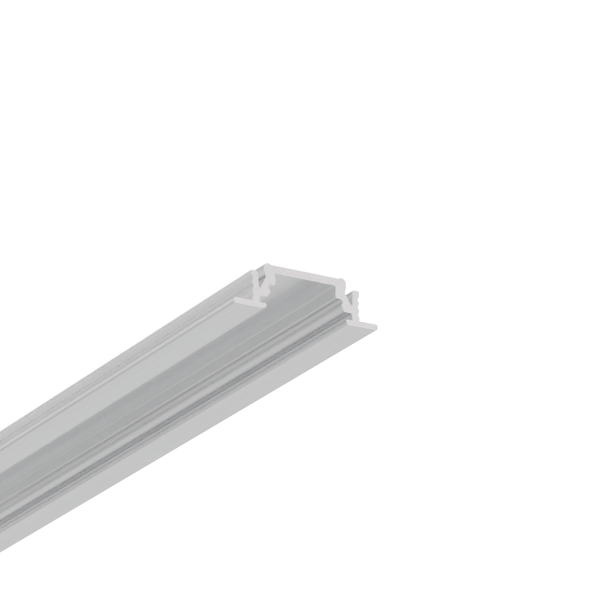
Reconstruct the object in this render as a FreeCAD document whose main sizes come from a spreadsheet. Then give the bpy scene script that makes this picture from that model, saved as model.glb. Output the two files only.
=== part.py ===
"""Recessed aluminium profile for an LED strip: one extruded bar, cut square at both ends.

The bar runs along Y and lies on the back of its web with the open side up. X is its width and
Z its depth. The origin is at the middle of the cut length, under the middle of the web, at the
level of the two bead crests that the bar rests on. All sizes are in millimetres.
"""
import FreeCAD, Part
import os
import Sketcher

# alias, value, what it measures
DRIVING_SIZES = [
    ("profile_length", 150.0, "cut length of the bar"),
    ("flange_width", 24.7, "width over the tips of both flanges"),
    ("profile_height", 7.15, "depth from the bead crests to the flange faces"),
    ("wall_width", 17.96, "width over the plain outer faces of both walls"),
    ("channel_width", 10.4, "seat of the LED strip, between the beads at the channel floor"),
    ("mouth_width", 13.66, "opening between the two lips"),
    ("flange_thickness", 0.9, "thickness of the outward flanges"),
    ("lip_thickness", 0.82, "thickness of the inward lips"),
    ("wall_thickness", 1.08, "thickness of a wall beside the slot"),
    ("web_thickness", 1.2, "thickness of the web"),
    ("crest_rise", 0.18, "how far a bead crest stands proud of the back of the web"),
    ("crest_radius", 0.75, "radius of a bead crest"),
    ("crest_blend_radius", 0.3, "hollow where the web's back runs into a bead crest"),
    ("bead_width", 1.84, "thickness of a bead, from the channel to its outer side"),
    ("shoulder_height", 1.25, "level at which a bead's outer side starts to step back"),
    ("shoulder_radius", 0.4, "rounding of that shoulder"),
    ("waist_height", 2.3, "level of the waist under a bead, where the neck starts"),
    ("waist_inset", 0.25, "how far the waist lies in from the bead's outer side"),
    ("waist_radius", 0.25, "hollow at the waist"),
    ("nose_lean", 0.1, "how far a nose leans over the channel"),
    ("nose_width", 1.0, "width of the flat top of a nose"),
    ("nose_radius", 0.4, "rounding of a nose on the channel side"),
    ("notch_width", 12.84, "width over the bottoms of the two cover notches"),
    ("notch_rise", 0.32, "level of a notch bottom above the top of the nose"),
    ("notch_radius", 0.15, "hollow at the bottom of a notch"),
    ("rail_gap", 12.1, "width between the tips of the two rails, which hold the cover"),
    ("rail_height", 1.62, "height of a rail, from the bottom of the notch to the slot"),
    ("rail_tip_radius", 0.25, "rounding of a rail's tip"),
    ("lead_in_height", 0.92, "height of the slope on a rail that leads the cover in"),
    ("lead_in_depth", 0.45, "how far that slope falls back from the rail's tip"),
    ("rail_edge_radius", 0.35, "rounding between that slope and the slot"),
    ("slot_height", 1.06, "opening of the slot between a rail and the lip above it"),
    ("slot_radius", 0.25, "hollow between a slot's floor and the wall"),
    ("corner_radius", 0.12, "rounding of the other inner corners"),
    ("fin_setback", 1.53, "level of the fin edges above the bead crests"),
    ("fin_tip_thickness", 1.15, "thickness of a fin at its free edge"),
    ("fin_root_thickness", 1.0, "thickness of a fin beside the bottom of the groove"),
    ("fin_inner_radius", 0.35, "rounding of a fin's free edge on the groove side"),
    ("fin_outer_radius", 0.2, "rounding of a fin's free edge on the outer side"),
    ("head_flare", 0.3, "how far a fin's head stands out beyond the plain wall"),
    ("head_height", 0.75, "height of the head's straight side"),
    ("head_taper", 0.6, "height over which the head comes back to the plain wall"),
    ("head_radius", 0.4, "rounding between the head's straight side and its taper"),
    ("root_thickness", 1.3, "metal left between the bottom of the groove and the slot"),
    ("groove_floor", 0.18, "width of the bottom of the groove between fin and neck"),
    ("groove_radius", 0.06, "rounding of that bottom"),
    ("rib_pitch", 1.2, "spacing of the grip ribs, as many as the wall has room for"),
    ("rib_height", 0.26, "height of a grip rib above the plain wall, before its rounding"),
    ("rib_rise", 0.6, "long slope of a grip rib, which leads into the board"),
    ("rib_fall", 0.4, "short slope of a grip rib, which holds in the board"),
    ("rib_radius", 0.2, "rounding of a rib's crest"),
    ("rib_setback", 0.32, "last rib's crest, below the back of the flange"),
    ("foot_radius", 0.25, "hollow between a wall and its flange"),
    ("flange_back_radius", 0.3, "rounding of a flange tip on the side that meets the board"),
    ("flange_face_radius", 0.4, "rounding of a flange tip on the visible face"),
    ("lip_back_radius", 0.2, "rounding of a lip tip on the slot side"),
    ("lip_face_radius", 0.45, "rounding of a lip tip on the visible face"),
]

# Lines across the half section, as formulas of the sizes. X is measured out from the middle.
BEAD_SIDE = "(Sizes.channel_width / 2 + Sizes.bead_width)"
CREST_MIDDLE = f"({BEAD_SIDE} - Sizes.crest_radius)"
CREST_START = (f"({CREST_MIDDLE} - sqrt(pow(Sizes.crest_radius; 2)"
               " - pow(Sizes.crest_radius - Sizes.crest_rise; 2)))")
NOSE_SIDE = "(Sizes.channel_width / 2 - Sizes.nose_lean)"
WALL_OUTSIDE = "(Sizes.wall_width / 2)"
WALL_INSIDE = f"({WALL_OUTSIDE} - Sizes.wall_thickness)"
FIN_OUTSIDE = f"({WALL_OUTSIDE} + Sizes.head_flare)"
FIN_INSIDE = f"({FIN_OUTSIDE} - Sizes.fin_tip_thickness)"
FIN_ROOT = f"({WALL_OUTSIDE} - Sizes.fin_root_thickness)"
RIB_SIDE = f"({WALL_OUTSIDE} + Sizes.rib_height)"

# Levels of the half section. Z is measured up from the bead crests.
CHANNEL_FLOOR = "(Sizes.crest_rise + Sizes.web_thickness)"
FLANGE_BACK = "(Sizes.profile_height - Sizes.flange_thickness)"
LIP_BACK = "(Sizes.profile_height - Sizes.lip_thickness)"
RAIL_TOP = f"({LIP_BACK} - Sizes.slot_height)"
RAIL_TIP = f"({RAIL_TOP} - Sizes.lead_in_height)"
NOTCH_LEVEL = f"({RAIL_TOP} - Sizes.rail_height)"
NOSE_TOP = f"({NOTCH_LEVEL} - Sizes.notch_rise)"
GROOVE_BOTTOM = f"({RAIL_TOP} - Sizes.root_thickness)"
HEAD_END = "(Sizes.fin_setback + Sizes.head_height)"
HEAD_FOOT = f"({HEAD_END} + Sizes.head_taper)"

# The grip ribs, from the one nearest the flange down to the last that clears the fin's head.
LAST_CREST = f"({FLANGE_BACK} - Sizes.rib_setback)"
LOWEST_CREST = f"({HEAD_FOOT} + Sizes.rib_rise)"
RIB_STEPS = f"floor(({LAST_CREST} - {LOWEST_CREST}) / Sizes.rib_pitch)"
RIB_CREST = f"({LAST_CREST} - {RIB_STEPS} * Sizes.rib_pitch)"

# The corners of the half section in order: name, x, z, and the size that rounds the corner.
HALF_SECTION = [
    ("back_middle", "0", "Sizes.crest_rise", None),
    ("crest_start", CREST_START, "Sizes.crest_rise", "crest_blend_radius"),
    ("crest_end", BEAD_SIDE, "Sizes.crest_radius", None),
    ("shoulder", BEAD_SIDE, "Sizes.shoulder_height", "shoulder_radius"),
    ("waist", f"{BEAD_SIDE} - Sizes.waist_inset", "Sizes.waist_height", "waist_radius"),
    ("groove_neck", f"{FIN_ROOT} - Sizes.groove_floor", GROOVE_BOTTOM, "groove_radius"),
    ("groove_fin", FIN_ROOT, GROOVE_BOTTOM, "groove_radius"),
    ("fin_inner", FIN_INSIDE, "Sizes.fin_setback", "fin_inner_radius"),
    ("fin_outer", FIN_OUTSIDE, "Sizes.fin_setback", "fin_outer_radius"),
    ("head_end", FIN_OUTSIDE, HEAD_END, "head_radius"),
    ("head_foot", WALL_OUTSIDE, HEAD_FOOT, None),
    ("wall_foot", WALL_OUTSIDE, FLANGE_BACK, "foot_radius"),
    ("flange_back", "Sizes.flange_width / 2", FLANGE_BACK, "flange_back_radius"),
    ("flange_face", "Sizes.flange_width / 2", "Sizes.profile_height", "flange_face_radius"),
    ("lip_face", "Sizes.mouth_width / 2", "Sizes.profile_height", "lip_face_radius"),
    ("lip_back", "Sizes.mouth_width / 2", LIP_BACK, "lip_back_radius"),
    ("slot_lip", WALL_INSIDE, LIP_BACK, "corner_radius"),
    ("slot_rail", WALL_INSIDE, RAIL_TOP, "slot_radius"),
    ("rail_edge", "Sizes.rail_gap / 2 + Sizes.lead_in_depth", RAIL_TOP, "rail_edge_radius"),
    ("rail_tip", "Sizes.rail_gap / 2", RAIL_TIP, "rail_tip_radius"),
    ("notch", "Sizes.notch_width / 2", NOTCH_LEVEL, "notch_radius"),
    ("nose_end", f"{NOSE_SIDE} + Sizes.nose_width", NOSE_TOP, None),
    ("nose", NOSE_SIDE, NOSE_TOP, "nose_radius"),
    ("channel_corner", "Sizes.channel_width / 2", CHANNEL_FLOOR, "corner_radius"),
    ("floor_middle", "0", CHANNEL_FLOOR, None),
]

# The sides that are arcs, by the corner they start from: the radius, and the side of the
# straight line between the two corners to which the arc bulges (+1 is its left, -1 its right).
HALF_SECTION_ARCS = {"crest_start": ("Sizes.crest_radius", -1)}

# One grip rib: a low barb on the wall's plain outer face.
RIB_SECTION = [
    ("rib_low", WALL_OUTSIDE, f"{RIB_CREST} - Sizes.rib_rise"),
    ("rib_crest", RIB_SIDE, RIB_CREST),
    ("rib_high", WALL_OUTSIDE, f"{RIB_CREST} + Sizes.rib_fall"),
]

NODE = "profile"
POINT_TOLERANCE = 0.001


def make_sheet(doc):
    """The driving sizes, one to a row, each with what it measures beside it."""
    sheet = doc.addObject("Spreadsheet::Sheet", "Sizes")
    for row, (alias, value, meaning) in enumerate(DRIVING_SIZES, start=1):
        sheet.set(f"A{row}", meaning)
        sheet.set(f"B{row}", str(value))
        sheet.setAlias(f"B{row}", alias)
    doc.recompute()
    return sheet


def origin_plane(body, role):
    """One of the body's own origin planes."""
    return next(item for item in body.Origin.OriginFeatures if item.Role == role)


def section_sketch(body, name):
    """A sketch on the plane across the bar, with X across and Z up."""
    sketch = body.newObject("Sketcher::SketchObject", name)
    sketch.AttachmentSupport = [(origin_plane(body, "XZ_Plane"), "")]
    sketch.MapMode = "FlatFace"
    return sketch


def bind(sketch, constraint, name, formula):
    """Add a constraint under its own name and let a formula of the sizes drive it."""
    index = sketch.addConstraint(constraint)
    sketch.renameConstraint(index, name)
    sketch.setExpression(f"Constraints.{name}", formula)


def arc_between(start, end, radius, side):
    """The arc from start to end that bulges to the given side of the line between them."""
    chord = end - start
    left = FreeCAD.Vector(-chord.y, chord.x, 0).normalize()
    bulge = radius - (radius ** 2 - chord.Length ** 2 / 4) ** 0.5
    return Part.Arc(start, (start + end) * 0.5 + left * side * bulge, end)


def corner_places(sheet, corners):
    """Where the corners of an outline lie, worked out from their formulas."""
    return [FreeCAD.Vector(sheet.evalExpression(x), sheet.evalExpression(z), 0)
            for _, x, z, *_ in corners]


def draw_outline(sketch, sheet, corners, arc_sides):
    """Draw a closed outline of lines and arcs whose corners and radii follow the sizes."""
    places = corner_places(sheet, corners)
    names = [name for name, *_ in corners]
    sides = []
    for name, start, end in zip(names, places, places[1:] + places[:1]):
        if name in arc_sides:
            formula, bulge_side = arc_sides[name]
            curve = arc_between(start, end, sheet.evalExpression(formula), bulge_side)
        else:
            curve = Part.LineSegment(start, end)
        sides.append(sketch.addGeometry(curve))
    # The sketch turns every arc counterclockwise, so a side may start at its second point.
    firsts = [1 if sketch.Geometry[side].StartPoint.distanceToPoint(start) < POINT_TOLERANCE
              else 2 for side, start in zip(sides, places)]
    lasts = [3 - first for first in firsts]
    for index, (name, x_formula, z_formula, *_) in enumerate(corners):
        side, first, place = sides[index], firsts[index], places[index]
        sketch.addConstraint(Sketcher.Constraint(
            "Coincident", sides[index - 1], lasts[index - 1], side, first))
        if x_formula == "0":
            sketch.addConstraint(Sketcher.Constraint("PointOnObject", side, first, -2))
        else:
            across = Sketcher.Constraint("DistanceX", -1, 1, side, first, place.x)
            bind(sketch, across, f"{name}_x", x_formula)
        upward = Sketcher.Constraint("DistanceY", -1, 1, side, first, place.y)
        bind(sketch, upward, f"{name}_z", z_formula)
        if name in arc_sides:
            formula = arc_sides[name][0]
            radius = Sketcher.Constraint("Radius", side, sheet.evalExpression(formula))
            bind(sketch, radius, f"{name}_radius", formula)


def pad_along_bar(body, sketch, name):
    """Extrude a sketch over the cut length, half of it to each side of the middle."""
    pad = body.newObject("PartDesign::Pad", name)
    pad.Profile = sketch
    pad.SideType = "Symmetric"
    pad.setExpression("Length", "Sizes.profile_length")
    sketch.Visibility = False
    body.Document.recompute()
    return pad


def edges_along_bar(shape, places):
    """Names of the edges that run along the bar through the given places of the section."""
    found = []
    for number, edge in enumerate(shape.Edges, start=1):
        ends = [FreeCAD.Vector(vertex.X, vertex.Z, 0) for vertex in edge.Vertexes]
        for place in places:
            if all(end.distanceToPoint(place) < POINT_TOLERANCE for end in ends):
                found.append(f"Edge{number}")
    return found


def round_edges(body, feature, size, places):
    """Round the edges that run along the bar through the given places, by one size."""
    edges = edges_along_bar(feature.Shape, places)
    if len(edges) != len(places):
        raise RuntimeError(f"{size} should round {len(places)} edges, found {len(edges)}")
    fillet = body.newObject("PartDesign::Fillet", size.replace("_radius", "_fillet"))
    fillet.Base = (feature, edges)
    fillet.setExpression("Radius", f"Sizes.{size}")
    body.Document.recompute()
    return fillet


def round_corners(body, sheet, feature):
    """Round the long edges of the half bar, one fillet feature for each size of rounding."""
    places = corner_places(sheet, HALF_SECTION)
    rounded = [(size, place) for (*_, size), place in zip(HALF_SECTION, places) if size]
    for size in dict.fromkeys(size for size, _ in rounded):
        at_corners = [place for other, place in rounded if other == size]
        feature = round_edges(body, feature, size, at_corners)


def add_grip_ribs(body, sheet):
    """Grip ribs on the outer face of the wall, one above the other, with rounded crests."""
    sketch = section_sketch(body, "RibSection")
    draw_outline(sketch, sheet, RIB_SECTION, {})
    rib = pad_along_bar(body, sketch, "Rib")
    ribs = body.newObject("PartDesign::LinearPattern", "Ribs")
    ribs.Originals = [rib]
    ribs.Direction = (sketch, ["V_Axis"])
    ribs.Mode = "Spacing"
    ribs.setExpression("Offset", "Sizes.rib_pitch")
    ribs.setExpression("Occurrences", f"{RIB_STEPS} + 1")
    body.Tip = ribs
    body.Document.recompute()
    first_crest = FreeCAD.Vector(sheet.evalExpression(RIB_SIDE), sheet.evalExpression(RIB_CREST), 0)
    pitch = FreeCAD.Vector(0, sheet.evalExpression("Sizes.rib_pitch"), 0)
    crests = [first_crest + pitch * number for number in range(ribs.Occurrences)]
    round_edges(body, ribs, "rib_radius", crests)


def mirror_half(body):
    """Mirror the whole half across the upright plane along the bar."""
    mirrored = body.newObject("PartDesign::Mirrored", "BothHalves")
    mirrored.TransformMode = "Whole shape"
    mirrored.MirrorPlane = (origin_plane(body, "YZ_Plane"), [""])
    body.Tip = mirrored
    body.Document.recompute()


def make_profile(doc, sheet):
    """The extruded bar: half of its section, rounded, ribbed and mirrored."""
    body = doc.addObject("PartDesign::Body", "Profile")
    body.Label = NODE
    sketch = section_sketch(body, "HalfSection")
    draw_outline(sketch, sheet, HALF_SECTION, HALF_SECTION_ARCS)
    half = pad_along_bar(body, sketch, "HalfBar")
    round_corners(body, sheet, half)
    add_grip_ribs(body, sheet)
    mirror_half(body)
    body.Placement = FreeCAD.Placement()
    doc.recompute()
    return body


def check_document(doc, bodies):
    """Stop if a feature failed or if a sub-part is not one valid solid."""
    for item in doc.Objects:
        if "Invalid" in item.State or "Error" in item.State:
            raise RuntimeError(f"{item.Name} failed: {item.State}")
    for body in bodies:
        shape = body.Shape
        if shape.isNull() or not shape.isValid() or len(shape.Solids) != 1:
            raise RuntimeError(f"{body.Label} is not one valid solid")


def main():
    doc = FreeCAD.newDocument("RecessedProfile")
    sheet = make_sheet(doc)
    bodies = [make_profile(doc, sheet)]
    check_document(doc, bodies)
    os.makedirs("parts", exist_ok=True)
    for body in bodies:
        body.Shape.exportStep(f"parts/{body.Label}.step")
        box = body.Shape.BoundBox
        print(f"{body.Label}: {box.XLength:.3f} x {box.YLength:.3f} x {box.ZLength:.3f} mm,"
              f" from z {box.ZMin:.3f}, {body.Shape.Volume:.1f} cubic mm")


main()
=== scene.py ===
"""Looks of a recessed aluminium profile for an LED strip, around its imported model.

The bar runs along Y and lies on the beads of its web with the open side up. The sizes of its
section are written in millimetres, as its maker would, and Blender gets them in metres.
"""

import logging
import math
from collections.abc import Mapping
from dataclasses import dataclass, field
from enum import Enum

import bmesh
import bpy
from mathutils import Matrix, Vector


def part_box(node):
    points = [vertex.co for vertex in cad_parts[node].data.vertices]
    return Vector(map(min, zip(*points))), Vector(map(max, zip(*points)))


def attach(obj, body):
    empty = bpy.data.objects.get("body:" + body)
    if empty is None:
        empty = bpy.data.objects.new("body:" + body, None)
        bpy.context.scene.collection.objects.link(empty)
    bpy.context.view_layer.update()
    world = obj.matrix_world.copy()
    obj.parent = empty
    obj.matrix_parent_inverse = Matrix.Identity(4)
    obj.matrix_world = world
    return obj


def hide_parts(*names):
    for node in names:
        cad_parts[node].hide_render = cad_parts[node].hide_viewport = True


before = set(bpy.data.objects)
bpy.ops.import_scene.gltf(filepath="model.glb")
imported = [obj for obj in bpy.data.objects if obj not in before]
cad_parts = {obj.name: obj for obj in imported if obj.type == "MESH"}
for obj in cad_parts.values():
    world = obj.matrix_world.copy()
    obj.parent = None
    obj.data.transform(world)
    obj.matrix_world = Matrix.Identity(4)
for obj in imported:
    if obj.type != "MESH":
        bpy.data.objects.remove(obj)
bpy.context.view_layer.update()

LOG = logging.getLogger("profile_scene")
MM = 0.001
ARC_STEP = math.radians(9.0)
ARC_FEWEST_STEPS = 2
SLIGHTEST_TURN = ARC_STEP / 4
NOISE_MIDDLE = 0.5
MIX_FACTOR, MIX_FIRST, MIX_SECOND, MIX_RESULT = 0, 6, 7, 2

Colour = tuple[float, float, float]
Triple = tuple[float, float, float]
Point = tuple[float, float]

WHITE: Colour = (1.0, 1.0, 1.0)


class Surface(Enum):
    """The two surfaces of a cut length of profile, numbered as the mesh's material slots."""

    SKIN = 0
    CUT = 1


def opaque(colour: Colour) -> tuple[float, float, float, float]:
    """A colour in the form that sockets and ramps take."""
    return (*colour, 1.0)


def new_object(name: str, data: bpy.types.ID) -> bpy.types.Object:
    """Put a mesh, a light or a camera into the scene.

    Args:
        name: The object's name.
        data: The mesh, light or camera.

    Returns:
        The new object.
    """
    item = bpy.data.objects.new(name, data)
    bpy.context.scene.collection.objects.link(item)
    return item


class Signal:
    """An output socket of a shader node that takes part in Python expressions."""

    def __init__(self, graph: "ShaderGraph", socket: bpy.types.NodeSocket) -> None:
        """Wrap a socket.

        Args:
            graph: The graph that the socket's node belongs to.
            socket: The output socket.
        """
        self.graph = graph
        self.socket = socket

    def _math(self, operation: str, first: "Signal | float", second: "Signal | float") -> "Signal":
        """Add a Math node.

        Args:
            operation: The node's operation, such as ADD.
            first: The first operand.
            second: The second operand.

        Returns:
            The result of the node.
        """
        return self.graph.signal("ShaderNodeMath", {"operation": operation}, {0: first, 1: second})

    def __add__(self, other: "Signal | float") -> "Signal":
        """Add a signal or a number."""
        return self._math("ADD", self, other)

    def __radd__(self, other: float) -> "Signal":
        """Add this signal to a number."""
        return self._math("ADD", other, self)

    def __sub__(self, other: "Signal | float") -> "Signal":
        """Subtract a signal or a number."""
        return self._math("SUBTRACT", self, other)

    def __rsub__(self, other: float) -> "Signal":
        """Subtract this signal from a number."""
        return self._math("SUBTRACT", other, self)

    def __mul__(self, other: "Signal | float") -> "Signal":
        """Multiply by a signal or a number."""
        return self._math("MULTIPLY", self, other)

    def __rmul__(self, other: float) -> "Signal":
        """Multiply a number by this signal."""
        return self._math("MULTIPLY", other, self)


class ShaderGraph:
    """The node tree of one material."""

    def __init__(self, name: str) -> None:
        """Make a material with an empty tree.

        Args:
            name: The material's name.
        """
        self.material = bpy.data.materials.new(name)
        self.material.use_nodes = True
        self.tree = self.material.node_tree
        self.tree.nodes.clear()

    def node(self, kind: str, settings: Mapping[str, object],
             inputs: Mapping[str | int, object]) -> bpy.types.Node:
        """Add a node of any type.

        Args:
            kind: The node's type.
            settings: Its settings. The setting "stops" holds a colour ramp's two stops, as
                pairs of a position and a grey.
            inputs: Values of its input sockets, or signals to link to them, by name or number.

        Returns:
            The new node.
        """
        node = self.tree.nodes.new(kind)
        for name, value in settings.items():
            if name == "stops":
                self._set_stops(node.color_ramp, value)
            else:
                setattr(node, name, value)
        for name, value in inputs.items():
            if isinstance(value, Signal):
                self.tree.links.new(value.socket, node.inputs[name])
            else:
                node.inputs[name].default_value = value
        return node

    def signal(self, kind: str, settings: Mapping[str, object],
               inputs: Mapping[str | int, object], output: str | int = 0) -> Signal:
        """Add a node and hand back one of its outputs.

        Args:
            kind: The node's type.
            settings: Its settings, as for node.
            inputs: Its sockets, as for node.
            output: Which output, by name or number.

        Returns:
            That output.
        """
        return Signal(self, self.node(kind, settings, inputs).outputs[output])

    @staticmethod
    def _set_stops(ramp: bpy.types.ColorRamp, stops: list[Point]) -> None:
        """Place and tint the two stops of a new colour ramp.

        Args:
            ramp: The ramp.
            stops: Two pairs of a position and a grey.
        """
        for element, (position, grey) in zip(ramp.elements, stops):
            element.position = position
            element.color = opaque((grey, grey, grey))

    def place(self) -> Signal:
        """The place on the object, in metres."""
        return self.signal("ShaderNodeTexCoord", {}, {}, "Object")

    def lumps(self, vector: Signal, width: float, length: float, detail: float) -> Signal:
        """Soft noise in lumps, which may be drawn out along the bar.

        Args:
            vector: The place on the object.
            width: How wide and high a lump is, in millimetres.
            length: How long it is.
            detail: How many octaves of finer noise are added.

        Returns:
            The noise, from 0 to 1.
        """
        scale = tuple(1.0 / (size * MM) for size in (width, length, width))
        place = self.signal("ShaderNodeVectorMath", {"operation": "MULTIPLY"}, {0: vector, 1: scale})
        return self.noise(place, detail)

    def noise(self, vector: Signal, detail: float) -> Signal:
        """Soft noise.

        Args:
            vector: The place, in lumps.
            detail: How many octaves of finer noise are added.

        Returns:
            The noise, from 0 to 1.
        """
        inputs = {"Vector": vector, "Scale": 1.0, "Detail": detail}
        return self.signal("ShaderNodeTexNoise", {}, inputs)

    def ramp(self, value: Signal, stops: list[Point]) -> Signal:
        """Reshape a value.

        Args:
            value: The value.
            stops: Two pairs of a value and what it becomes.

        Returns:
            The reshaped value.
        """
        return self.signal("ShaderNodeValToRGB", {"stops": stops}, {0: value})

    def blend(self, factor: Signal, first: Colour, second: Colour) -> Signal:
        """Blend two colours.

        Args:
            factor: 0 for the first colour, 1 for the second.
            first: Linear red, green and blue.
            second: Linear red, green and blue.

        Returns:
            The blended colour.
        """
        inputs = {MIX_FACTOR: factor, MIX_FIRST: opaque(first), MIX_SECOND: opaque(second)}
        return self.signal("ShaderNodeMix", {"data_type": "RGBA"}, inputs, MIX_RESULT)

    def relief(self, height: Signal, depth: float) -> Signal:
        """Raise a surface.

        Args:
            height: The height, from 0 to 1.
            depth: What a height of 1 is, in millimetres.

        Returns:
            The normal of the raised surface.
        """
        return self.signal("ShaderNodeBump", {}, {"Distance": depth * MM, "Height": height})

    def close(self, inputs: Mapping[str | int, object]) -> bpy.types.Material:
        """End the tree in a Principled surface.

        Args:
            inputs: The surface's sockets.

        Returns:
            The finished material.
        """
        surface = self.signal("ShaderNodeBsdfPrincipled", {}, inputs)
        self.node("ShaderNodeOutputMaterial", {}, {"Surface": surface})
        return self.material


@dataclass(frozen=True)
class SatinSkin:
    """Clear anodised skin of an extrusion, with the fine lines that the die leaves along it."""

    bright: Colour = (0.975, 0.978, 0.984)
    dull: Colour = (0.932, 0.935, 0.941)
    dull_tone: float = 0.36
    bright_tone: float = 0.64
    roughness: float = 0.235
    roughness_swing: float = 0.06
    line_width: float = 0.16
    line_length: float = 90.0
    line_detail: float = 2.0
    line_share: float = 0.35
    line_depth: float = 0.0022
    band_width: float = 1.1
    band_length: float = 260.0
    band_detail: float = 1.0
    band_share: float = 0.40
    cloud_size: float = 9.0
    cloud_detail: float = 2.0

    def material(self) -> bpy.types.Material:
        """Build the finish.

        Returns:
            The material.
        """
        graph = ShaderGraph("satin_anodised_skin")
        place = graph.place()
        lines = graph.lumps(place, self.line_width, self.line_length, self.line_detail)
        bands = graph.lumps(place, self.band_width, self.band_length, self.band_detail)
        clouds = graph.lumps(place, self.cloud_size, self.cloud_size, self.cloud_detail)
        cloud_share = 1.0 - self.line_share - self.band_share
        tone = self.line_share * lines + self.band_share * bands + cloud_share * clouds
        shade = graph.ramp(tone, [(self.dull_tone, 0.0), (self.bright_tone, 1.0)])
        return graph.close({
            "Base Color": graph.blend(shade, self.dull, self.bright),
            "Metallic": 1.0,
            "Roughness": self.roughness + self.roughness_swing * (lines - NOISE_MIDDLE),
            "Normal": graph.relief(lines, self.line_depth),
        })


@dataclass(frozen=True)
class SawnFace:
    """Bare metal of a sawn end, with the shallow arcs that the blade's teeth leave."""

    bright: Colour = (0.985, 0.962, 0.967)
    dull: Colour = (0.917, 0.894, 0.899)
    dull_tone: float = 0.34
    bright_tone: float = 0.66
    roughness: float = 0.48
    roughness_swing: float = 0.12
    blade_radius: float = 150.0
    blade_bearing: float = math.radians(-57.0)
    mark_width: float = 0.14
    mark_detail: float = 2.0
    mark_share: float = 0.6
    mark_depth: float = 0.004
    grain_size: float = 0.3
    grain_detail: float = 2.0

    def material(self) -> bpy.types.Material:
        """Build the finish.

        Returns:
            The material.
        """
        graph = ShaderGraph("sawn_end")
        place = graph.place()
        reach = self.blade_radius * MM
        hub = (reach * math.cos(self.blade_bearing), 0.0, reach * math.sin(self.blade_bearing))
        arm = graph.signal("ShaderNodeVectorMath", {"operation": "SUBTRACT"}, {0: place, 1: hub})
        radius = graph.signal("ShaderNodeVectorMath", {"operation": "LENGTH"}, {0: arm}, "Value")
        marks_per_metre = 1.0 / (self.mark_width * MM)
        ring = graph.signal("ShaderNodeCombineXYZ", {}, {"X": radius * marks_per_metre})
        marks = graph.noise(ring, self.mark_detail)
        grain = graph.lumps(place, self.grain_size, self.grain_size, self.grain_detail)
        height = self.mark_share * marks + (1.0 - self.mark_share) * grain
        shade = graph.ramp(height, [(self.dull_tone, 0.0), (self.bright_tone, 1.0)])
        return graph.close({
            "Base Color": graph.blend(shade, self.dull, self.bright),
            "Metallic": 1.0,
            "Roughness": self.roughness + self.roughness_swing * (grain - NOISE_MIDDLE),
            "Normal": graph.relief(height, self.mark_depth),
        })


@dataclass(frozen=True)
class PaleCard:
    """Matt white card, which may be lit through from below."""

    name: str
    white: float
    glow: float = 0.0
    roughness: float = 0.9
    specular: float = 0.1

    def material(self) -> bpy.types.Material:
        """Build the finish.

        Returns:
            The material.
        """
        return ShaderGraph(self.name).close({
            "Base Color": opaque((self.white, self.white, self.white)),
            "Roughness": self.roughness,
            "Specular IOR Level": self.specular,
            "Emission Color": opaque(WHITE),
            "Emission Strength": self.glow,
        })


@dataclass(frozen=True)
class Corner:
    """A corner of an outline across the bar, in millimetres, and its rounding."""

    x: float
    z: float
    radius: float = 0.0


def arc(middle: Point, radius: float, start: float, end: float) -> list[Corner]:
    """Points on a round stretch of an outline.

    Args:
        middle: Middle of the circle.
        radius: Its radius.
        start: Angle of the first point, in radians from +X towards +Z.
        end: Angle of the last point.

    Returns:
        The points, both ends included.
    """
    count = max(ARC_FEWEST_STEPS, math.ceil(abs(end - start) / ARC_STEP))
    angles = [start + (end - start) * number / count for number in range(count + 1)]
    return [Corner(middle[0] + radius * math.cos(angle), middle[1] + radius * math.sin(angle))
            for angle in angles]


def rounded(before: Corner, corner: Corner, after: Corner) -> list[Corner]:
    """Round one corner of an outline.

    Args:
        before: The corner before it.
        corner: The corner.
        after: The corner after it.

    Returns:
        The points that take its place.
    """
    here = Vector((corner.x, corner.z))
    back, onward = Vector((before.x, before.z)) - here, Vector((after.x, after.z)) - here
    half_turn = (math.pi - back.angle(onward)) / 2
    if corner.radius == 0.0 or half_turn < SLIGHTEST_TURN:
        return [corner]
    to_middle = (back.normalized() + onward.normalized()).normalized()
    middle = here + to_middle * corner.radius / math.cos(half_turn)
    first = here + back.normalized() * corner.radius * math.tan(half_turn) - middle
    side = math.copysign(1.0, back.x * onward.y - back.y * onward.x)
    start = math.atan2(first.y, first.x)
    return arc(tuple(middle), corner.radius, start, start - side * 2 * half_turn)


@dataclass(frozen=True)
class Web:
    """The flat bottom of the channel. Levels are measured up from the bead crests."""

    back: float = 0.18
    thickness: float = 1.2
    half_width: float = 5.2

    @property
    def floor(self) -> float:
        """Level of the channel floor."""
        return self.back + self.thickness


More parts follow.
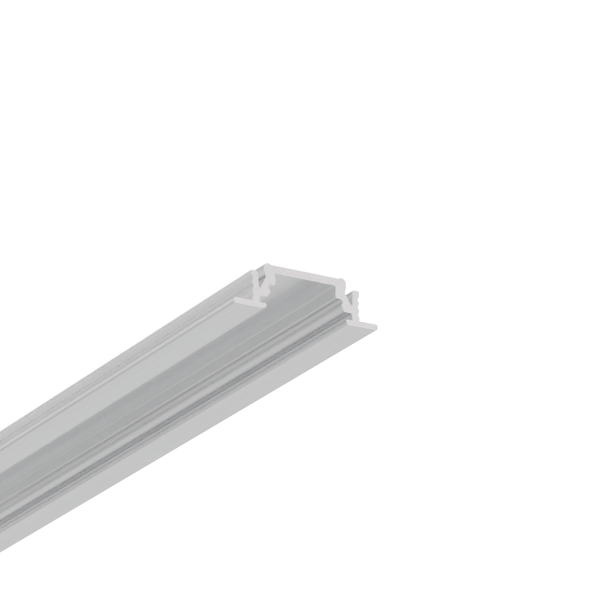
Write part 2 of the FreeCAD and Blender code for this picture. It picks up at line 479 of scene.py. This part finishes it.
@dataclass(frozen=True)
class Bead:
    """The rounded bead at each side of the web: crest, shoulder and waist outside, nose inside."""

    web: Web
    width: float = 1.84
    crest_radius: float = 0.75
    hollow_radius: float = 0.3
    shoulder: float = 1.25
    shoulder_radius: float = 0.4
    waist: float = 2.3
    waist_inset: float = 0.25
    waist_radius: float = 0.25
    nose_lean: float = 0.1
    nose_width: float = 1.0
    nose_radius: float = 0.4
    corner_radius: float = 0.3

    @property
    def side(self) -> float:
        """Distance of the bead's outer side from the middle."""
        return self.web.half_width + self.width

    def outside(self) -> list[Corner]:
        """The crest that the bar rests on, the shoulder and the waist.

        Returns:
            The corners and the points of the crest's arcs.
        """
        crest = (self.side - self.crest_radius, self.crest_radius)
        drop = self.crest_radius - self.web.back + self.hollow_radius
        reach = self.crest_radius + self.hollow_radius
        lean = math.acos(drop / reach)
        hollow = (crest[0] - reach * math.sin(lean), self.web.back - self.hollow_radius)
        up, down = math.pi / 2, -math.pi / 2
        return [
            *arc(hollow, self.hollow_radius, up, up - lean),
            *arc(crest, self.crest_radius, down - lean, 0.0)[1:],
            Corner(self.side, self.shoulder, self.shoulder_radius),
            Corner(self.side - self.waist_inset, self.waist, self.waist_radius),
        ]

    def inside(self, nose_top: float) -> list[Corner]:
        """The nose over the channel and the channel's lower corner.

        Args:
            nose_top: Level of the nose's flat top.

        Returns:
            The corners.
        """
        nose = self.web.half_width - self.nose_lean
        return [
            Corner(nose + self.nose_width, nose_top),
            Corner(nose, nose_top, self.nose_radius),
            Corner(self.web.half_width, self.web.floor, self.corner_radius),
        ]


@dataclass(frozen=True)
class Wall:
    """The side wall, with its grip ribs and the fin that stands free below it."""

    outside: float = 8.98
    thickness: float = 1.08
    fin_edge: float = 1.53
    tip_thickness: float = 1.15
    root_thickness: float = 1.0
    groove_floor: float = 0.18
    groove_radius: float = 0.06
    inner_radius: float = 0.35
    outer_radius: float = 0.2
    head_flare: float = 0.3
    head_height: float = 0.75
    head_taper: float = 0.6
    head_radius: float = 0.4
    rib_count: int = 3
    rib_pitch: float = 1.2
    rib_height: float = 0.26
    rib_rise: float = 0.6
    rib_fall: float = 0.4
    rib_radius: float = 0.2
    rib_setback: float = 0.32
    foot_radius: float = 0.13

    @property
    def inside(self) -> float:
        """Distance of the wall's inner face from the middle."""
        return self.outside - self.thickness

    def fin(self, groove_bottom: float) -> list[Corner]:
        """The groove behind the fin, the fin's free edge and its flared head.

        Args:
            groove_bottom: Level of the bottom of the groove.

        Returns:
            The corners.
        """
        root = self.outside - self.root_thickness
        head = self.outside + self.head_flare
        return [
            Corner(root - self.groove_floor, groove_bottom, self.groove_radius),
            Corner(root, groove_bottom, self.groove_radius),
            Corner(head - self.tip_thickness, self.fin_edge, self.inner_radius),
            Corner(head, self.fin_edge, self.outer_radius),
            Corner(head, self.fin_edge + self.head_height, self.head_radius),
            Corner(self.outside, self.fin_edge + self.head_height + self.head_taper),
        ]

    def ribs(self, flange_back: float) -> list[Corner]:
        """The grip ribs and the foot of the wall.

        Args:
            flange_back: Level of the flange's back, which cuts the last rib's short slope.

        Returns:
            The corners up to the flange's back.
        """
        corners = []
        for number in reversed(range(self.rib_count)):
            crest = flange_back - self.rib_setback - number * self.rib_pitch
            corners += [
                Corner(self.outside, crest - self.rib_rise),
                Corner(self.outside + self.rib_height, crest, self.rib_radius),
                Corner(self.outside, crest + self.rib_fall),
            ]
        foot = self.outside + self.rib_height * (1 - self.rib_setback / self.rib_fall)
        corners[-1] = Corner(foot, flange_back, self.foot_radius)
        return corners


@dataclass(frozen=True)
class Flange:
    """The flat outward flange and the inward lip that share the visible face."""

    tip: float
    face: float
    thickness: float = 0.9
    back_radius: float = 0.3
    face_radius: float = 0.4
    lip_edge: float = 6.83
    lip_thickness: float = 0.82
    lip_back_radius: float = 0.2
    lip_face_radius: float = 0.45

    @property
    def back(self) -> float:
        """Level of the flange's back."""
        return self.face - self.thickness

    @property
    def lip_back(self) -> float:
        """Level of the lip's back."""
        return self.face - self.lip_thickness

    def outline(self) -> list[Corner]:
        """From the flange's back round its tip and along the face to the lip.

        Returns:
            The corners.
        """
        return [
            Corner(self.tip, self.back, self.back_radius),
            Corner(self.tip, self.face, self.face_radius),
            Corner(self.lip_edge, self.face, self.lip_face_radius),
            Corner(self.lip_edge, self.lip_back, self.lip_back_radius),
        ]


@dataclass(frozen=True)
class Rail:
    """The rail under the cover's slot: a sloped lead-in, the tip and the notch below it."""

    lip_back: float
    slot_height: float = 1.06
    slot_radius: float = 0.25
    corner_radius: float = 0.12
    tip: float = 6.05
    tip_radius: float = 0.25
    lead_in_height: float = 0.92
    lead_in_depth: float = 0.45
    edge_radius: float = 0.35
    height: float = 1.62
    notch: float = 6.42
    notch_radius: float = 0.15
    notch_rise: float = 0.32
    root_thickness: float = 1.3

    @property
    def top(self) -> float:
        """Level of the rail's top, the floor of the slot."""
        return self.lip_back - self.slot_height

    @property
    def nose_top(self) -> float:
        """Level of the bead's nose, a little below the notch."""
        return self.top - self.height - self.notch_rise

    @property
    def groove_bottom(self) -> float:
        """Level of the bottom of the groove on the rail's other side."""
        return self.top - self.root_thickness

    def outline(self, wall_inside: float) -> list[Corner]:
        """From the slot's upper corner to the notch.

        Args:
            wall_inside: Distance of the wall's inner face from the middle.

        Returns:
            The corners.
        """
        return [
            Corner(wall_inside, self.lip_back, self.corner_radius),
            Corner(wall_inside, self.top, self.slot_radius),
            Corner(self.tip + self.lead_in_depth, self.top, self.edge_radius),
            Corner(self.tip, self.top - self.lead_in_height, self.tip_radius),
            Corner(self.notch, self.top - self.height, self.notch_radius),
        ]


@dataclass(frozen=True)
class Section:
    """The section of the extrusion, the same on both sides of its middle."""

    flange: Flange
    web: Web = field(default_factory=Web)
    wall: Wall = field(default_factory=Wall)

    def half(self) -> list[Point]:
        """The half on the +X side, from the middle of the web's back to the middle of its floor.

        Returns:
            The points, in millimetres.
        """
        bead = Bead(self.web)
        rail = Rail(self.flange.lip_back)
        corners = [
            Corner(0.0, self.web.back),
            *bead.outside(),
            *self.wall.fin(rail.groove_bottom),
            *self.wall.ribs(self.flange.back),
            *self.flange.outline(),
            *rail.outline(self.wall.inside),
            *bead.inside(rail.nose_top),
            Corner(0.0, self.web.floor),
        ]
        neighbours = zip(corners, corners[1:], corners[2:])
        points = [point for trio in neighbours for point in rounded(*trio)]
        return [(point.x, point.z) for point in (corners[0], *points, corners[-1])]

    def outline(self) -> list[Point]:
        """The closed outline, in millimetres."""
        half = self.half()
        return half + [(-x, z) for x, z in reversed(half[1:-1])]


@dataclass
class ProfileBar:
    """The cut length of profile: one extruded piece with two sawn ends."""

    node: str = "profile"
    body: str = "root"
    slot: str = "aluminium"
    name: str = "profile_bar"
    edge_break: float = 0.03
    ring_spacing: float = 10.0
    crease: float = math.radians(32.0)
    skin: SatinSkin = field(default_factory=SatinSkin)
    cut: SawnFace = field(default_factory=SawnFace)

    def build(self) -> bpy.types.Object:
        """Build the bar in the place of its solid.

        Returns:
            The finished piece.
        """
        low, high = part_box(self.node)
        flange = Flange(tip=high.x / MM, face=high.z / MM)
        mesh = self._mesh(Section(flange).outline(), low.y / MM, high.y / MM)
        piece = new_object(self.name, mesh)
        finishes = {Surface.SKIN: self.skin, Surface.CUT: self.cut}
        for surface in Surface:
            mesh.materials.append(finishes[surface].material())
        weighting = piece.modifiers.new("even_shading", "WEIGHTED_NORMAL")
        weighting.keep_sharp = True
        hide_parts(self.node)
        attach(piece, self.body)
        return piece

    def _rings(self, outline: list[Point], near: float, far: float) -> list[list[Vector]]:
        """Lay the outline out along the bar.

        Args:
            outline: The section's closed outline.
            near: Place of the near end along Y.
            far: Place of the far end.

        Returns:
            The rings of points from end to end, in metres, drawn in a little at both ends.
        """
        flat = [Vector(point) for point in outline]
        inner = []
        for before, here, after in zip(flat[-1:] + flat[:-1], flat, flat[1:] + flat[:1]):
            ahead, behind = (after - here).normalized(), (here - before).normalized()
            left = Vector((-behind.y - ahead.y, behind.x + ahead.x)).normalized()
            inner.append(here + left * self.edge_break)
        count = round((far - near) / self.ring_spacing)
        first, last = near + self.edge_break, far - self.edge_break
        places = [first + (last - first) * number / count for number in range(count + 1)]
        stations = [(near, inner), *((place, flat) for place in places), (far, inner)]
        return [[Vector((point.x, y, point.y)) * MM for point in ring] for y, ring in stations]

    def _mesh(self, outline: list[Point], near: float, far: float) -> bpy.types.Mesh:
        """Skin the rings and close the ends.

        Args:
            outline: The section's closed outline.
            near: Place of the near end along Y.
            far: Place of the far end.

        Returns:
            The closed mesh.
        """
        bm = bmesh.new()
        rings = [[bm.verts.new(point) for point in ring] for ring in self._rings(outline, near, far)]
        for ring, following in zip(rings, rings[1:]):
            for here, there in zip(range(len(ring)), [*range(1, len(ring)), 0]):
                bm.faces.new((ring[here], ring[there], following[there], following[here]))
        for ring in (rings[0], rings[-1]):
            bm.faces.new(ring).material_index = Surface.CUT.value
        bmesh.ops.recalc_face_normals(bm, faces=bm.faces)
        for face in bm.faces:
            face.smooth = True
        for edge in bm.edges:
            edge.smooth = edge.calc_face_angle() < self.crease
        mesh = bpy.data.meshes.new(self.name)
        bm.to_mesh(mesh)
        bm.free()
        return mesh


@dataclass(frozen=True)
class Viewpoint:
    """Where the photograph was taken from, rolled by half a turn.

    Angles are in degrees, and the aim, distance, sensor and lens in millimetres. The clipping
    distances are in metres.
    """

    name: str = "photo_camera"
    azimuth: float = 32.89
    elevation: float = 21.63
    roll: float = -177.88
    aim: Triple = (0.57, -74.22, 4.42)
    distance: float = 555.6
    sensor_width: float = 36.0
    lens: float = 229.71
    clip_start: float = 0.01
    clip_end: float = 100.0

    def set_up(self) -> None:
        """Make the scene's camera."""
        camera = bpy.data.cameras.new(self.name)
        camera.sensor_width = self.sensor_width
        camera.lens = self.lens
        camera.clip_start = self.clip_start
        camera.clip_end = self.clip_end
        back = bearing(self.azimuth, self.elevation)
        right = Vector((0.0, 0.0, 1.0)).cross(back).normalized()
        upright = Matrix((right, back.cross(right), back)).transposed()
        turned = upright @ Matrix.Rotation(-math.radians(self.roll), 3, "Z")
        place = Vector(self.aim) * MM + back * self.distance * MM
        item = new_object(self.name, camera)
        item.matrix_world = Matrix.LocRotScale(place, turned, None)
        bpy.context.scene.camera = item


def bearing(azimuth: float, elevation: float) -> Vector:
    """Direction from the bar towards a viewer or a light.

    Args:
        azimuth: Degrees round the bar; at 0 the viewer looks along +Y, at 90 along -X.
        elevation: Degrees above the horizon.

    Returns:
        A vector of length 1.
    """
    turn, rise = math.radians(azimuth), math.radians(elevation)
    return Vector((math.sin(turn) * math.cos(rise), -math.cos(turn) * math.cos(rise), math.sin(rise)))


@dataclass(frozen=True)
class SoftBox:
    """A large soft light that faces the bar: degrees, metres and watts."""

    name: str
    azimuth: float
    elevation: float
    distance: float
    size: float
    watts: float

    def hang(self) -> None:
        """Put the light up."""
        lamp = bpy.data.lights.new(self.name, "AREA")
        lamp.shape = "SQUARE"
        lamp.size = self.size
        lamp.energy = self.watts
        item = new_object(self.name, lamp)
        towards = bearing(self.azimuth, self.elevation)
        turned = towards.to_track_quat("Z", "Y")
        item.matrix_world = Matrix.LocRotScale(towards * self.distance, turned, None)


@dataclass(frozen=True)
class Studio:
    """The pale table, turned up all round, and the soft light round the bar. Lengths are in metres.

    One card is the table that is seen. The other is the lit table that the metal mirrors.
    """

    table_size: float = 12.0
    wall_height: float = 12.0
    mirrored_drop: float = 0.006
    surround: float = 0.435
    shown: PaleCard = PaleCard("table_shown", white=0.25, glow=0.93)
    mirrored: PaleCard = PaleCard("table_mirrored", white=0.87, glow=0.045)
    lights: tuple[SoftBox, ...] = (
        SoftBox("key_light", azimuth=10.0, elevation=70.0, distance=1.8, size=3.2, watts=14.0),
        SoftBox("back_light", azimuth=226.0, elevation=22.0, distance=1.5, size=1.5, watts=1.03),
        SoftBox("low_light", azimuth=146.0, elevation=7.0, distance=1.5, size=0.55, watts=0.14),
        SoftBox("top_light", azimuth=165.0, elevation=54.0, distance=1.5, size=1.2, watts=0.36),
        SoftBox("end_light", azimuth=327.0, elevation=5.0, distance=1.5, size=0.8, watts=3.9),
    )

    def set_up(self) -> None:
        """Lay the table, hang the lights and light the surround."""
        scene = bpy.context.scene
        scene.view_settings.view_transform = "Standard"
        table = self._lay(self.shown, 0.0, self.wall_height)
        table.visible_diffuse = False
        table.visible_glossy = False
        table.visible_shadow = False
        self._lay(self.mirrored, self.mirrored_drop, 0.0).visible_camera = False
        for light in self.lights:
            light.hang()
        world = bpy.data.worlds.new("surround")
        world.use_nodes = True
        background = world.node_tree.nodes["Background"]
        background.inputs["Color"].default_value = opaque(WHITE)
        background.inputs["Strength"].default_value = self.surround
        scene.world = world

    def _lay(self, card: PaleCard, drop: float, walls: float) -> bpy.types.Object:
        """Lay a card under the bar.

        Args:
            card: The card.
            drop: How far it lies below the bar, in metres.
            walls: How high it is turned up all round, or 0 to leave it flat.

        Returns:
            The card's object.
        """
        mesh = bpy.data.meshes.new(card.name)
        bm = bmesh.new()
        bmesh.ops.create_grid(bm, x_segments=1, y_segments=1, size=self.table_size / 2)
        if walls:
            rim = [edge for edge in bm.edges if edge.is_boundary]
            raised = bmesh.ops.extrude_edge_only(bm, edges=rim)["geom"]
            top = [item for item in raised if isinstance(item, bmesh.types.BMVert)]
            bmesh.ops.translate(bm, verts=top, vec=(0.0, 0.0, walls))
        bm.to_mesh(mesh)
        bm.free()
        mesh.materials.append(card.material())
        table = new_object(card.name, mesh)
        table.location.z = -drop
        return table


def main() -> None:
    """Build the camera, the studio and the bar."""
    logging.basicConfig(level=logging.INFO, format="%(name)s: %(message)s")
    Viewpoint().set_up()
    Studio().set_up()
    bar = ProfileBar()
    piece = bar.build()
    LOG.info("%s: %d faces, in the place of %s", piece.name, len(piece.data.polygons), bar.node)


if __name__ == "__main__":
    main()
